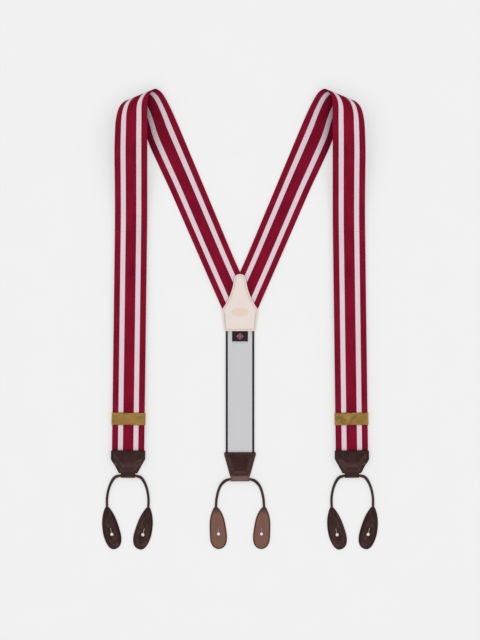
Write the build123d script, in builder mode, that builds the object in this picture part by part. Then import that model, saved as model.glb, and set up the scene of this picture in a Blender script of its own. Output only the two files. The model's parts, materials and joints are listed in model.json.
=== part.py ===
from build123d import *
from math import cos, radians, sin
import os

# Button-on Y-back braces, laid flat: two ribbon straps, a leather yoke, an elastic back strap,
# sliding adjusters, and leather tabs whose rolled cords end in button ears.
#
# Frame: origin at the centre of the yoke's bottom edge, on the plane the braces lie on.
# +X to the right, +Y up the straps towards the shoulder folds, +Z up off the plane. Millimetres.
# The left side is drawn once and mirrored about the YZ plane.

# ---- driving dimensions ------------------------------------------------------------------

# ribbon
RIBBON_WIDTH = 37.8
RIBBON_THICK = 1.0
FRONT_Z = 5.3  # middle of the front layer where it runs flat, over the returning layer
RETURN_Z = 2.5  # middle of the returning layer
STRAP_X = -129.0  # centre line of the left front strap at Y = 0
STRAP_SPLAY = 0.75  # degrees that the front strap leans outwards going down
FLAT_END = 120.0  # the front layer is flat below here, and rises to the shoulder fold above it
STRAP_GAP = 0.2  # from each strap's end to the centre line, inside the yoke
GATHER_WIDTH = 35.0  # the ribbon is drawn in to this where it passes through the ring
GATHER_END = -137.5  # above here the returning layer has its full width again
RETURN_NARROWER = 0.6  # how much narrower the returning layer is drawn, to clear the cheeks

# leather
LEATHER = 1.3
GAP = 0.05  # between faces that only touch

# yoke
YOKE_BOTTOM_HALF = 18.1
YOKE_WIDE_HALF = 21.3
YOKE_WIDE_Y = 25.0
YOKE_FLANK = [(12.6, 39.9), (8.1, 54.0)]  # the hollow flank, between the wide part and the neck
YOKE_NECK_HALF = 7.1
YOKE_NECK_Y = 60.5
YOKE_TIP_HALF = 5.1
YOKE_TIP_SIDE_Y = 64.9
YOKE_TIP_Y = 66.6
YOKE_CORNER_R = 2.0
YOKE_LINING_Z = 2.7

# elastic and label
ELASTIC_WIDTH = 33.6
ELASTIC_THICK = 1.2
ELASTIC_Z = 1.45
ELASTIC_TOP = 10.0
ELASTIC_BOTTOM = -157.5
ELASTIC_CUT_Y = -149.0  # the lower corners are cut off from here
ELASTIC_CUT_HALF = 12.6
LABEL_WIDTH = 18.6
LABEL_LENGTH = 12.0
LABEL_THICK = 0.35
LABEL_TOP = -0.2

# front tab, along the strap
TAB_TOP = -139.6
TAB_SHOULDER = -150.0
TAB_END = -166.8
TAB_HALF = 19.9
TAB_END_HALF = 10.8
TAB_MOUTH_Z = 6.5  # inner face of the front leather at the mouth
TAB_CORNER_R = 1.0
LINING_SHORTER = 2.0  # the lining stops this far above the tab's end
LINK_Y = -146.5  # bar of the hidden ring that the ribbon turns round
LINK_BOTTOM_Y = -156.0
LINK_WIRE = 1.6
LINK_Z = 3.9
LINK_HALF = 19.4
LINK_BOTTOM_HALF = 14.8
LINK_SIDE = 3.5  # straight length of its sides
LINK_EDGE_R = 0.6

# rear tab
REAR_TAB_TOP = -141.9
REAR_TAB_HALF = 18.6
REAR_TAB_END = -170.4
REAR_TAB_END_HALF = 11.6
REAR_TAB_SIDE = 3.0  # straight length of its sides
REAR_TAB_FRONT_Z = 2.7

# cord, keeper loops and ears
CORD_R = 1.55
CORD_CLEARANCE = 0.1
KEEPER_Z = 3.05  # axis of the cord inside its loop
CORD_Z = 1.65  # axis of the cord where it lies on the plane
FRONT_CORD_Y = -169.3
FRONT_KEEPER_HALF = 8.4
FRONT_FLANGE = (-158.0, 1.4, 4.65)  # the loop's ends inside the tab: top, low face, high face
REAR_CORD_Y = -173.4
REAR_KEEPER_HALF = 11.2
REAR_FLANGE = (-160.0, 1.4, 2.65)
EAR_THICK = 2.2
EAR_Z = 0.1
EAR_TOP_Y = -206.4
BUTTON_HOLE_R = 1.8
SLIT_LENGTH = 6.0
SLIT_WIDTH = 0.4
SLIT_OVERLAP = 0.2  # how far the slit runs into the hole
FRONT_SLIT_LEAN = 12.0
REAR_SLIT_LEAN = 4.0

# adjuster, along the strap
ADJUSTER_Y = -102.6
PLATE_WIDTH = 39.8
PLATE_LENGTH = 14.0
PLATE_THICK = 0.8
PLATE_Z = 6.2
CHEEK_THICK = 0.8
CHEEK_LOW_Z = 0.9
CHEEK_CORNER = 1.5
PLATE_EDGE_R = 0.6
PIN_R = 0.8
PIN_Y = ADJUSTER_Y + 2.5
PIN_Z = 2.8
LEVER_CLEARANCE = 0.05
LEVER_BARREL_R = 1.75
LEVER_WIDTH = 33.0
LEVER_ARM = 11.4
LEVER_THICK = 0.9
TOOTH_COUNT = 11
TOOTH_HEIGHT = 0.2
TOOTH_LENGTH = 0.7
TOOTH_GAP = 0.45  # of the pitch
CLAMP_LENGTH = 4.0
CLAMP_HEIGHT = 2.4
CLAMP_Y = ADJUSTER_Y - 5.9  # middle of the crimped clamp
CLAMP_CLOSED = 1.2  # length of its closed end
RETURN_END = CLAMP_Y + 0.7  # where the returning layer ends, inside the clamp

STRAP_PLANE = Plane(
    origin=(STRAP_X, 0, 0),
    x_dir=(cos(radians(STRAP_SPLAY)), -sin(radians(STRAP_SPLAY)), 0),
    z_dir=(0, 0, 1),
)

os.makedirs("parts", exist_ok=True)


def write(piece, name):
    """Label a finished piece and write its STEP file."""
    piece.label = name
    export_step(piece, f"parts/{name}.step")


def write_pair(piece, name):
    """Write a piece of the left side, and its mirror image for the right side."""
    write(piece, f"left_{name}")
    write(mirror(piece, about=Plane.YZ), f"right_{name}")


def write_on_straps(piece, name):
    """A piece drawn along +Y is set on the left strap's line, and mirrored for the right one."""
    write_pair(piece.moved(STRAP_PLANE.location), name)


def strap_point(across, along, height):
    """A point of the left front strap, from its centre line, in the row's frame."""
    return STRAP_PLANE.from_local_coords(Vector(across, along, height))


# ---- ribbon straps -----------------------------------------------------------------------

# Each station is a straight line across the ribbon: its outer end, then its inner end.
# Over the shoulder the ribbon rolls like a cone: the outer edge turns in a wide loop and
# the inner edge in a tight one, so the stations slant.
HALF = RIBBON_WIDTH / 2
FOLD_STEPS = 3  # cross-sections to each stretch between two stations of the fold
FLAT_STATIONS = [LINK_Y + 0.2, 60.0, 90.0, FLAT_END]  # the ribbon starts over the link's bar
FOLD_STATIONS = [
    (strap_point(-HALF, 145, 8.0), strap_point(HALF, 148, 8.0)),
    (strap_point(-HALF, 175, 14.5), strap_point(HALF, 184, 14.3)),
    (strap_point(-HALF, 205, 22.5), strap_point(HALF, 222, 20.6)),
    ((-144.3, 227.0, 26.6), (-107.0, 250.0, 22.4)),
    ((-143.0, 246.0, 25.0), (-106.7, 269.5, 20.6)),
    ((-139.0, 260.5, 20.5), (-102.8, 277.5, 17.6)),
    ((-130.0, 268.3, 13.5), (-97.8, 281.8, 12.6)),
    ((-121.5, 263.0, 6.6), (-91.5, 278.6, 7.0)),
    ((-114.0, 246.5, 3.2), (-84.0, 266.5, 3.4)),
    ((-107.8, 222.5, 1.6), (-74.0, 245.0, 1.4)),
]
BACK_STATIONS = [
    ((-95.5, 194.5, 1.1), (-61.0, 214.0, 1.1)),
    ((-82.0, 165.5, 1.0), (-48.0, 183.0, 1.0)),
    ((-62.0, 119.8, 1.2), (-28.5, 136.2, 1.2)),
    ((-42.0, 74.0, 1.9), (-9.0, 89.5, 1.9)),
    ((-28.4, 43.0, 2.0), (5.0, 57.8, 2.0)),
    ((-14.8, 12.0, 2.0), (19.0, 26.0, 2.0)),
]


def smooth_point(points, along, distance):
    """The point at a distance along a smooth cubic curve through the points."""
    last = len(points) - 1
    k = max(i for i in range(last) if along[i] <= distance)

    def slope(i):
        low, high = max(i - 1, 0), min(i + 1, last)
        return (points[high] - points[low]) * (1 / (along[high] - along[low]))

    span = along[k + 1] - along[k]
    t = (distance - along[k]) / span
    return (
        points[k] * (2 * t**3 - 3 * t**2 + 1)
        + slope(k) * (span * (t**3 - 2 * t**2 + t))
        + points[k + 1] * (3 * t**2 - 2 * t**3)
        + slope(k + 1) * (span * (t**3 - t**2))
    )


def strap_sections():
    """Four-cornered cross-sections of the left ribbon, closely spaced where it folds."""
    flat = [(strap_point(-HALF, y, FRONT_Z), strap_point(HALF, y, FRONT_Z)) for y in FLAT_STATIONS]
    stations = flat + FOLD_STATIONS + BACK_STATIONS
    outers = [Vector(*outer) for outer, inner in stations]
    inners = [Vector(*inner) for outer, inner in stations]
    middles = [(outer + inner) * 0.5 for outer, inner in zip(outers, inners)]
    along = [0.0]
    for before, after in zip(middles, middles[1:]):
        along.append(along[-1] + (after - before).length)
    places = []
    for k, (start, end) in enumerate(zip(along, along[1:])):
        folded = len(flat) - 1 <= k < len(flat) + len(FOLD_STATIONS)
        steps = FOLD_STEPS if folded else 1
        places += [start + (end - start) * j / steps for j in range(steps)]
    places.append(along[-1])
    ends = [(smooth_point(outers, along, s), smooth_point(inners, along, s)) for s in places]
    centres = [(outer + inner) * 0.5 for outer, inner in ends]
    sections = []
    for k, (outer, inner) in enumerate(ends):
        heading = centres[min(k + 1, len(ends) - 1)] - centres[max(k - 1, 0)]
        lift = (inner - outer).cross(heading).normalized() * (RIBBON_THICK / 2)
        sections.append((outer + lift, inner + lift, inner - lift, outer - lift))
    return sections


def between_lines(a, b, c, d):
    """The face stretched between line a-b and line c-d."""
    return Face.make_surface_from_curves(Edge.make_line(a, b), Edge.make_line(c, d))


def strap():
    """The left ribbon, from the link ring over the shoulder fold to the yoke."""
    sections = strap_sections()
    skin = []
    for near, far in zip(sections, sections[1:]):
        for k in range(4):
            skin.append(between_lines(near[k - 1], near[k], far[k - 1], far[k]))
    for a, b, c, d in (sections[0], sections[-1]):
        skin.append(between_lines(a, b, d, c))
    with BuildPart() as ribbon:
        add(Solid(Shell(skin)))
        # the two straps meet at the yoke's centre line
        split(bisect_by=Plane.YZ.offset(-STRAP_GAP), keep=Keep.BOTTOM)
    return ribbon.part


def strap_return():
    """The ribbon's last stretch: round the link's bar and back up to the clamp, drawn along +Y."""
    turn_r = FRONT_Z - LINK_Z
    half = RIBBON_THICK / 2
    with BuildPart() as ribbon:
        with BuildSketch(Plane.YZ.offset(-GATHER_WIDTH / 2)):
            with Locations((LINK_Y, LINK_Z)):
                Circle(turn_r + half)
                Circle(turn_r - half, mode=Mode.SUBTRACT)
            with Locations((LINK_Y + turn_r * 2, LINK_Z)):
                Rectangle(turn_r * 4, turn_r * 4, mode=Mode.SUBTRACT)
            with Locations(((LINK_Y + GATHER_END) / 2, RETURN_Z)):
                Rectangle(GATHER_END - LINK_Y, RIBBON_THICK)
        extrude(amount=GATHER_WIDTH)
        with BuildSketch(Plane.XY.offset(RETURN_Z - half)):
            with Locations((0, (RETURN_END + GATHER_END) / 2)):
                Rectangle(RIBBON_WIDTH - RETURN_NARROWER, RETURN_END - GATHER_END)
        extrude(amount=RIBBON_THICK)
    return ribbon.part


# ---- yoke, label and elastic -------------------------------------------------------------


def yoke_leather(low_z):
    """One of the yoke's two leathers: a bell with hollow flanks and a round tip."""
    with BuildPart() as leather:
        with BuildSketch(Plane.XY.offset(low_z)):
            with BuildLine():
                side = Line((YOKE_BOTTOM_HALF, 0), (YOKE_WIDE_HALF, YOKE_WIDE_Y))
                flank = Spline(side @ 1, *YOKE_FLANK, (YOKE_NECK_HALF, YOKE_NECK_Y))
                tip = ThreePointArc(flank @ 1, (YOKE_TIP_HALF, YOKE_TIP_SIDE_Y), (0, YOKE_TIP_Y))
                Line(tip @ 1, (0, 0))
                Line((0, 0), side @ 0)
            make_face()
            mirror(about=Plane.YZ)
        extrude(amount=LEATHER)
        bottom = leather.edges().filter_by(Axis.Z).group_by(Axis.Y)[0]
        fillet(bottom, YOKE_CORNER_R)
    return leather.part


def elastic():
    """Elastic back strap, from inside the yoke to inside the rear tab."""
    with BuildPart() as band:
        with BuildSketch(Plane.XY.offset(ELASTIC_Z)):
            with Locations((0, (ELASTIC_TOP + ELASTIC_BOTTOM) / 2)):
                Rectangle(ELASTIC_WIDTH, ELASTIC_TOP - ELASTIC_BOTTOM)
        extrude(amount=ELASTIC_THICK)
        with BuildSketch(Plane.XY.offset(ELASTIC_Z), mode=Mode.PRIVATE) as corner:
            with BuildLine():
                Polyline(
                    (ELASTIC_CUT_HALF, ELASTIC_BOTTOM),
                    (ELASTIC_WIDTH, ELASTIC_BOTTOM),
                    (ELASTIC_WIDTH, ELASTIC_CUT_Y),
                    (ELASTIC_WIDTH / 2, ELASTIC_CUT_Y),
                    close=True,
                )
            make_face()
            mirror(about=Plane.YZ)
        extrude(corner.sketch, amount=ELASTIC_THICK, mode=Mode.SUBTRACT)
    return band.part


def label():
    """Small woven label, sewn on the elastic just under the yoke."""
    low = ELASTIC_Z + ELASTIC_THICK + GAP
    with BuildPart() as patch:
        with BuildSketch(Plane.XY.offset(low)):
            with Locations((0, LABEL_TOP - LABEL_LENGTH / 2)):
                Rectangle(LABEL_WIDTH, LABEL_LENGTH)
        extrude(amount=LABEL_THICK)
    return patch.part


# ---- leather tabs and their keeper loops -------------------------------------------------


def tab_outline(top, shoulder, end, half, end_half):
    """Half outline of a tab, closed on its centre line: straight sides, then a taper."""
    Polyline(
        (0, top),
        (half, top),
        (half, shoulder),
        (end_half, end),
        (0, end),
        close=True,
    )


def off_centre(corners):
    """An outline's corners, leaving out any point on its centre line."""
    return [corner for corner in corners if abs(corner.X) > 1]


def front_tab_front():
    """Front leather of a front tab. It comes down from the mouth towards its sewn lower end."""
    low_end = KEEPER_Z + CORD_R + CORD_CLEARANCE + GAP
    bend_y = TAB_SHOULDER - 1
    with BuildPart() as leather:
        with BuildSketch(Plane.YZ.offset(-TAB_HALF)):
            with BuildLine():
                Polyline(
                    (TAB_TOP, TAB_MOUTH_Z),
                    (bend_y, TAB_MOUTH_Z),
                    (TAB_END, low_end),
                    (TAB_END, low_end + LEATHER),
                    (bend_y, TAB_MOUTH_Z + LEATHER),
                    (TAB_TOP, TAB_MOUTH_Z + LEATHER),
                    close=True,
                )
            make_face()
        extrude(amount=2 * TAB_HALF)
        with BuildSketch(Plane.XY) as outline:
            with BuildLine():
                tab_outline(TAB_TOP, TAB_SHOULDER, TAB_END, TAB_HALF, TAB_END_HALF)
            make_face()
            mirror(about=Plane.YZ)
            fillet(off_centre(outline.vertices()), TAB_CORNER_R)
        extrude(amount=2 * TAB_MOUTH_Z, mode=Mode.INTERSECT)
    return leather.part


def flat_tab(low_z, top, shoulder, end, half, end_half):
    """A flat tab leather, lying at low_z."""
    with BuildPart() as leather:
        with BuildSketch(Plane.XY.offset(low_z)) as outline:
            with BuildLine():
                tab_outline(top, shoulder, end, half, end_half)
            make_face()
            mirror(about=Plane.YZ)
            fillet(off_centre(outline.vertices()), TAB_CORNER_R)
        extrude(amount=LEATHER)
    return leather.part


def front_tab_lining():
    """Lining of a front tab, a little shorter than its front leather."""
    end = TAB_END + LINING_SHORTER
    return flat_tab(0.0, TAB_TOP, TAB_SHOULDER, end, TAB_HALF, TAB_END_HALF + 1.0)


def rear_tab_leather(low_z):
    """One of the rear tab's two leathers, lying at low_z."""
    shoulder = REAR_TAB_TOP - REAR_TAB_SIDE
    return flat_tab(low_z, REAR_TAB_TOP, shoulder, REAR_TAB_END, REAR_TAB_HALF, REAR_TAB_END_HALF)


def keeper_loop(axis_y, half, tab_end, flange):
    """A strip folded round the cord, with both ends running up between the tab's leathers."""
    inner = CORD_R + CORD_CLEARANCE
    outer = inner + LEATHER - 2 * GAP
    flange_top, low_z, high_z = flange
    body = tab_end - GAP - axis_y
    with BuildPart() as loop:
        with BuildSketch(Plane.YZ.offset(-half)):
            with Locations((axis_y, KEEPER_Z)):
                Circle(outer)
            with Locations((axis_y + body / 2, KEEPER_Z)):
                Rectangle(body, 2 * outer)
            with Locations(((axis_y + body + flange_top) / 2, (low_z + high_z) / 2)):
                Rectangle(flange_top - axis_y - body, high_z - low_z)
            with Locations((axis_y, KEEPER_Z)):
                Circle(inner, mode=Mode.SUBTRACT)
        extrude(amount=2 * half)
    return loop.part


def link_ring():
    """Stamped steel ring inside a front tab. The ribbon turns round its top bar."""
    with BuildPart() as ring:
        with BuildSketch(Plane.XY.offset(LINK_Z - LINK_WIRE / 2)):
            with BuildLine():
                top = LINK_Y + LINK_WIRE / 2
                Polyline(
                    (-LINK_HALF, top),
                    (LINK_HALF, top),
                    (LINK_HALF, top - LINK_SIDE),
                    (LINK_BOTTOM_HALF, LINK_BOTTOM_Y),
                    (-LINK_BOTTOM_HALF, LINK_BOTTOM_Y),
                    (-LINK_HALF, top - LINK_SIDE),
                    close=True,
                )
            make_face()
            offset(amount=-LINK_WIRE, mode=Mode.SUBTRACT)
        extrude(amount=LINK_WIRE)
        fillet(ring.edges().filter_by(Axis.X), LINK_EDGE_R)
    return ring.part


# ---- rolled cords and button ears --------------------------------------------------------

# Half of each cord's line, from the loop's end to the ear, as (x, y, z).
FRONT_CORD = [
    (-FRONT_KEEPER_HALF, FRONT_CORD_Y, KEEPER_Z),
    (-15.5, -171.8, 2.4),
    (-21.3, -181.8, CORD_Z),
    (-24.2, -195.0, CORD_Z),
    (-24.1, EAR_TOP_Y + GAP, CORD_Z),
]
REAR_CORD = [
    (-REAR_KEEPER_HALF, REAR_CORD_Y, KEEPER_Z),
    (-17.4, -175.6, 2.4),
    (-23.3, -182.2, CORD_Z),
    (-27.2, -195.0, CORD_Z),
    (-28.3, EAR_TOP_Y + GAP, CORD_Z),
]

# Outline of the left ear of each pair, from the neck's inner corner round to its outer corner.
FRONT_EAR = [
    (-22.2, EAR_TOP_Y),
    (-14.6, -218.0),
    (-9.3, -232.0),
    (-6.8, -245.0),
    (-9.6, -253.4),
    (-17.0, -256.2),
    (-25.0, -248.0),
    (-29.4, -232.0),
    (-29.6, -220.0),
    (-26.1, EAR_TOP_Y),
]
REAR_EAR = [
    (-26.3, EAR_TOP_Y),
    (-19.6, -217.0),
    (-16.4, -231.0),
    (-15.2, -243.5),
    (-18.2, -252.6),
    (-25.2, -255.8),
    (-32.2, -252.0),
    (-35.4, -238.0),
    (-35.0, -219.4),
    (-30.3, EAR_TOP_Y),
]
FRONT_HOLE = (-18.2, -238.8)
REAR_HOLE = (-25.2, -238.1)


def cord(half_line):
    """Rolled leather cord: one bent rod through the keeper loop, from ear to ear."""
    left = [Vector(*p) for p in reversed(half_line)]
    right = [Vector(-p.X, p.Y, p.Z) for p in reversed(left)]
    with BuildPart() as rod:
        with BuildLine() as path:
            limb = Spline(left, tangents=[(0.03, 1, 0), (1, 0, 0)])
            Line(left[-1], right[0])
            Spline(right, tangents=[(1, 0, 0), (0.03, -1, 0)])
        with BuildSketch(Plane(origin=limb @ 0, z_dir=limb % 0)):
            Circle(CORD_R)
        sweep(path=path.wires()[0])
    return rod.part


def ear(outline, hole, lean):
    """Flat leather ear with a round button hole and a short slit above it."""
    with BuildPart() as leaf:
        with BuildSketch(Plane.XY.offset(EAR_Z)):
            with BuildLine():
                Spline(outline)
                Line(outline[-1], outline[0])
            make_face()
            with Locations(hole):
                Circle(BUTTON_HOLE_R, mode=Mode.SUBTRACT)
            slit = Vector(0, BUTTON_HOLE_R + SLIT_LENGTH / 2 - SLIT_OVERLAP).rotate(Axis.Z, lean)
            with Locations(Location((hole[0] + slit.X, hole[1] + slit.Y, 0), (0, 0, lean))):
                Rectangle(SLIT_WIDTH, SLIT_LENGTH, mode=Mode.SUBTRACT)
        extrude(amount=EAR_THICK)
    return leaf.part


# ---- sliding adjuster --------------------------------------------------------------------


def adjuster_plate():
    """Front plate with a cheek bent back at each end, holed for the lever's pin."""
    inner_half = PLATE_WIDTH / 2 - CHEEK_THICK
    with BuildPart() as plate:
        with BuildSketch(Plane.XZ.offset(-ADJUSTER_Y - PLATE_LENGTH / 2)):
            with Locations((0, (PLATE_Z + PLATE_THICK + CHEEK_LOW_Z) / 2)):
                Rectangle(PLATE_WIDTH, PLATE_Z + PLATE_THICK - CHEEK_LOW_Z)
            with Locations((0, (PLATE_Z + CHEEK_LOW_Z) / 2 - 1)):
                Rectangle(2 * inner_half, PLATE_Z - CHEEK_LOW_Z + 2, mode=Mode.SUBTRACT)
        extrude(amount=PLATE_LENGTH)
        chamfer(plate.edges().filter_by(Axis.X).group_by(Axis.Z)[0], CHEEK_CORNER)
        fillet(plate.edges().filter_by(Axis.Y).group_by(Axis.Z)[-1], PLATE_EDGE_R)
        with BuildSketch(Plane.YZ.offset(-PLATE_WIDTH)):
            with Locations((PIN_Y, PIN_Z)):
                Circle(PIN_R)
        extrude(amount=2 * PLATE_WIDTH, mode=Mode.SUBTRACT)
    return plate.part


def lever_pin():
    """Pin across the cheeks, held fast in them."""
    with BuildPart() as pin:
        with BuildSketch(Plane.YZ.offset(-PLATE_WIDTH / 2)):
            with Locations((PIN_Y, PIN_Z)):
                Circle(PIN_R)
        extrude(amount=PLATE_WIDTH)
    return pin.part


def lever():
    """Cam lever: a barrel on the pin, a row of teeth towards the ribbon, and a finger plate."""
    arm_z = PIN_Z - LEVER_BARREL_R - LEVER_THICK / 2 + GAP
    pitch = LEVER_WIDTH / TOOTH_COUNT
    with BuildPart() as cam:
        with BuildSketch(Plane.YZ.offset(-LEVER_WIDTH / 2)):
            with Locations((PIN_Y, PIN_Z)):
                Circle(LEVER_BARREL_R)
            with Locations((PIN_Y - LEVER_ARM / 2, arm_z)):
                Rectangle(LEVER_ARM, LEVER_THICK)
            with Locations((PIN_Y - LEVER_BARREL_R / 2, PIN_Z - LEVER_BARREL_R)):
                Rectangle(LEVER_BARREL_R, LEVER_BARREL_R)
            with Locations((PIN_Y, PIN_Z + LEVER_BARREL_R)):
                Rectangle(TOOTH_LENGTH, 2 * TOOTH_HEIGHT)
            with Locations((PIN_Y, PIN_Z)):
                Circle(PIN_R + LEVER_CLEARANCE, mode=Mode.SUBTRACT)
        extrude(amount=LEVER_WIDTH)
        # gaps between the teeth
        with BuildSketch(Plane.XY.offset(PIN_Z + LEVER_BARREL_R - TOOTH_HEIGHT / 2)):
            with Locations((0, PIN_Y)):
                with GridLocations(pitch, 1, TOOTH_COUNT - 1, 1):
                    Rectangle(pitch * TOOTH_GAP, 3 * TOOTH_LENGTH)
        extrude(amount=2 * TOOTH_HEIGHT, mode=Mode.SUBTRACT)
    return cam.part


def end_clamp():
    """Metal strip crimped over the end of the returning ribbon, held between the cheeks."""
    with BuildPart() as clamp:
        with BuildSketch(Plane.YZ.offset(-PLATE_WIDTH / 2 + CHEEK_THICK + GAP)):
            with Locations((CLAMP_Y, RETURN_Z)):
                Rectangle(CLAMP_LENGTH, CLAMP_HEIGHT)
            with Locations((CLAMP_Y - CLAMP_CLOSED / 2, RETURN_Z)):
                Rectangle(CLAMP_LENGTH - CLAMP_CLOSED, RIBBON_THICK + 2 * GAP, mode=Mode.SUBTRACT)
        extrude(amount=PLATE_WIDTH - 2 * CHEEK_THICK - 2 * GAP)
    return clamp.part


# ---- assembly ----------------------------------------------------------------------------

write_pair(strap(), "strap")
write_on_straps(strap_return(), "strap_return")
write(yoke_leather(0.0), "yoke_outer")
write(yoke_leather(YOKE_LINING_Z), "yoke_lining")
write(elastic(), "elastic_back")
write(label(), "woven_label")

write_on_straps(front_tab_front(), "tab_front")
write_on_straps(front_tab_lining(), "tab_lining")
write_on_straps(link_ring(), "link_ring")
write_on_straps(
    keeper_loop(FRONT_CORD_Y, FRONT_KEEPER_HALF, TAB_END, FRONT_FLANGE), "keeper_loop"
)
write_on_straps(cord(FRONT_CORD), "cord")
front_ear = ear(FRONT_EAR, FRONT_HOLE, FRONT_SLIT_LEAN)
write_on_straps(front_ear, "outer_ear")
write_on_straps(mirror(front_ear, about=Plane.YZ), "inner_ear")

write(rear_tab_leather(0.0), "rear_tab_back")
write(rear_tab_leather(REAR_TAB_FRONT_Z), "rear_tab_front")
write(
    keeper_loop(REAR_CORD_Y, REAR_KEEPER_HALF, REAR_TAB_END, REAR_FLANGE), "rear_keeper_loop"
)
write(cord(REAR_CORD), "rear_cord")
rear_ear = ear(REAR_EAR, REAR_HOLE, REAR_SLIT_LEAN)
write(rear_ear, "rear_left_ear")
write(mirror(rear_ear, about=Plane.YZ), "rear_right_ear")

write_on_straps(adjuster_plate(), "adjuster_plate")
write_on_straps(lever_pin(), "lever_pin")
write_on_straps(lever(), "adjuster_lever")
write_on_straps(end_clamp(), "end_clamp")
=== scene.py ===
"""Looks of the button-on Y-back braces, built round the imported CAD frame.

Shapes are worked out in millimetres and become metres when a piece is made. Pieces of a front
strap are drawn in that strap's own frame: +Y up the strap, X across it, Z up off the plane.
The left side is drawn once and mirrored for the right one.
"""

import json
import math
from copy import deepcopy

import bmesh
import bpy
import numpy as np
from mathutils.geometry import delaunay_2d_cdt
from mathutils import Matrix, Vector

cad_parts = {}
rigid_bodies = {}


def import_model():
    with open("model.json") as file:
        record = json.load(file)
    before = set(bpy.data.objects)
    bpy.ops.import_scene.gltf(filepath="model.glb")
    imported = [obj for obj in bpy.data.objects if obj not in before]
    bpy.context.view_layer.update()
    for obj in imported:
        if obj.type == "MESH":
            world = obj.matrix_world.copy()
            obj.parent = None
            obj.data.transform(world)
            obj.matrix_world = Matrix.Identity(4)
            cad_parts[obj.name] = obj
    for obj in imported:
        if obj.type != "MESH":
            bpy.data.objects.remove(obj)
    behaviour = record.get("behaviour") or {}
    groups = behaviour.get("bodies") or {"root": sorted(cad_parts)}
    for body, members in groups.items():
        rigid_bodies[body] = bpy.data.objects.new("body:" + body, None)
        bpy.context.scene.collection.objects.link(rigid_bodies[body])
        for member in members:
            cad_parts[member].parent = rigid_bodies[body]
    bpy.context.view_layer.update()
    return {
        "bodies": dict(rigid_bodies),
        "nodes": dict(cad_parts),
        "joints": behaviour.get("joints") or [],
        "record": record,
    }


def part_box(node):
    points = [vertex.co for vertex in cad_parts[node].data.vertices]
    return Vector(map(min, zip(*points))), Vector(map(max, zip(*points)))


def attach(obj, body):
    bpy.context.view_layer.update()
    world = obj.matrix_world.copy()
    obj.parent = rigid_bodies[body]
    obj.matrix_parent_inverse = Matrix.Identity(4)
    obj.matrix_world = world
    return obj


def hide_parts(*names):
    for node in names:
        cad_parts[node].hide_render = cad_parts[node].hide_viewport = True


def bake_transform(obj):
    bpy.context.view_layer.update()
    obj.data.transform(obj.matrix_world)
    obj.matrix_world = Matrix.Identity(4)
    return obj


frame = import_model()
MM = 0.001

# ---- driving sizes, in millimetres -------------------------------------------------------

RIBBON_HALF = 18.9
RIBBON_THICK = 1.0
FLAT_Z = 5.3  # middle of the front layer
FLAT_END = 120.0  # the front layer starts to rise here
SEAM_Y = 116.0  # the sliding part of the front layer ends here
LINK_Y = -146.5
LINK_Z = 3.9
RETURN_Z = 2.5
GATHER_HALF = 17.5  # half width of the ribbon where the ring draws it in
GATHER_Y = -138.0  # from here up it has its full width
RETURN_HALF = 18.55
RIBBON_BEAD = 0.1  # the selvedge stands up by this
LEATHER = 1.3
CORD_R = 1.55
KEEPER_Z = 3.05
CORD_Z = 1.65

NO_RIM = 9.0  # stands for a place far from any cut edge
GRID = 0.9  # spacing of the points inside a leather piece
EDGE_STEP = 0.6  # spacing of the points along its outline
EDGE_ROUND = 0.42  # radius of a leather edge
RIM_BAND = 0.5  # the last ring of points stands this far inside the rounding
HEX_ROW = 0.866  # height of a row of even triangles, as a share of their side
STITCH_LIFT = 0.14  # the leather swells this much under the yoke's seam
SHARP = 38  # degrees between two faces from which their edge is shown sharp


# ---- small tools -------------------------------------------------------------------------


def smooth(low, high, x):
    """0 below low, 1 above high, and a smooth rise between them."""
    t = np.clip((np.asarray(x, float) - low) / (high - low), 0, 1)
    return t * t * (3 - 2 * t)


def bell(x, width):
    """A smooth hump, 1 at zero and fading out over the width."""
    return np.exp(-((np.asarray(x, float) / width) ** 2))


def distances(line):
    """How far along a line each of its points lies."""
    return np.concatenate([[0], np.cumsum(np.linalg.norm(np.diff(line, axis=0), axis=1))])


def points_at(line, far, at):
    """Points of a flat line at some distances along it; far is how far its own points lie."""
    return np.column_stack([np.interp(at, far, line[:, k]) for k in (0, 1)])


def unit(vectors):
    """The vectors, each at length 1."""
    return vectors / np.linalg.norm(vectors, axis=-1, keepdims=True)


def circle(count):
    """Angles spaced evenly round a circle."""
    return np.linspace(0, 2 * math.pi, count + 1)[:-1]


def relaxed(line, times):
    """An open line smoothed, with its ends kept."""
    for _ in range(times):
        line[1:-1] = (line[:-2] + 2 * line[1:-1] + line[2:]) / 4
    return line


def cad_box(node):
    """The low and the high corner of a CAD node, in millimetres."""
    return (np.array(corner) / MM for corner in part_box(node))


def tube_faces(rows, ring):
    """Faces of a tube made of rows of points, with ring points in each, closed at both ends."""
    faces = []
    for row in range(rows - 1):
        for k in range(ring):
            n = (k + 1) % ring
            faces.append([row * ring + k, row * ring + n, (row + 1) * ring + n, (row + 1) * ring + k])
    last = (rows - 1) * ring
    return faces + [list(range(ring))[::-1], [last + k for k in range(ring)]]


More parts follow.
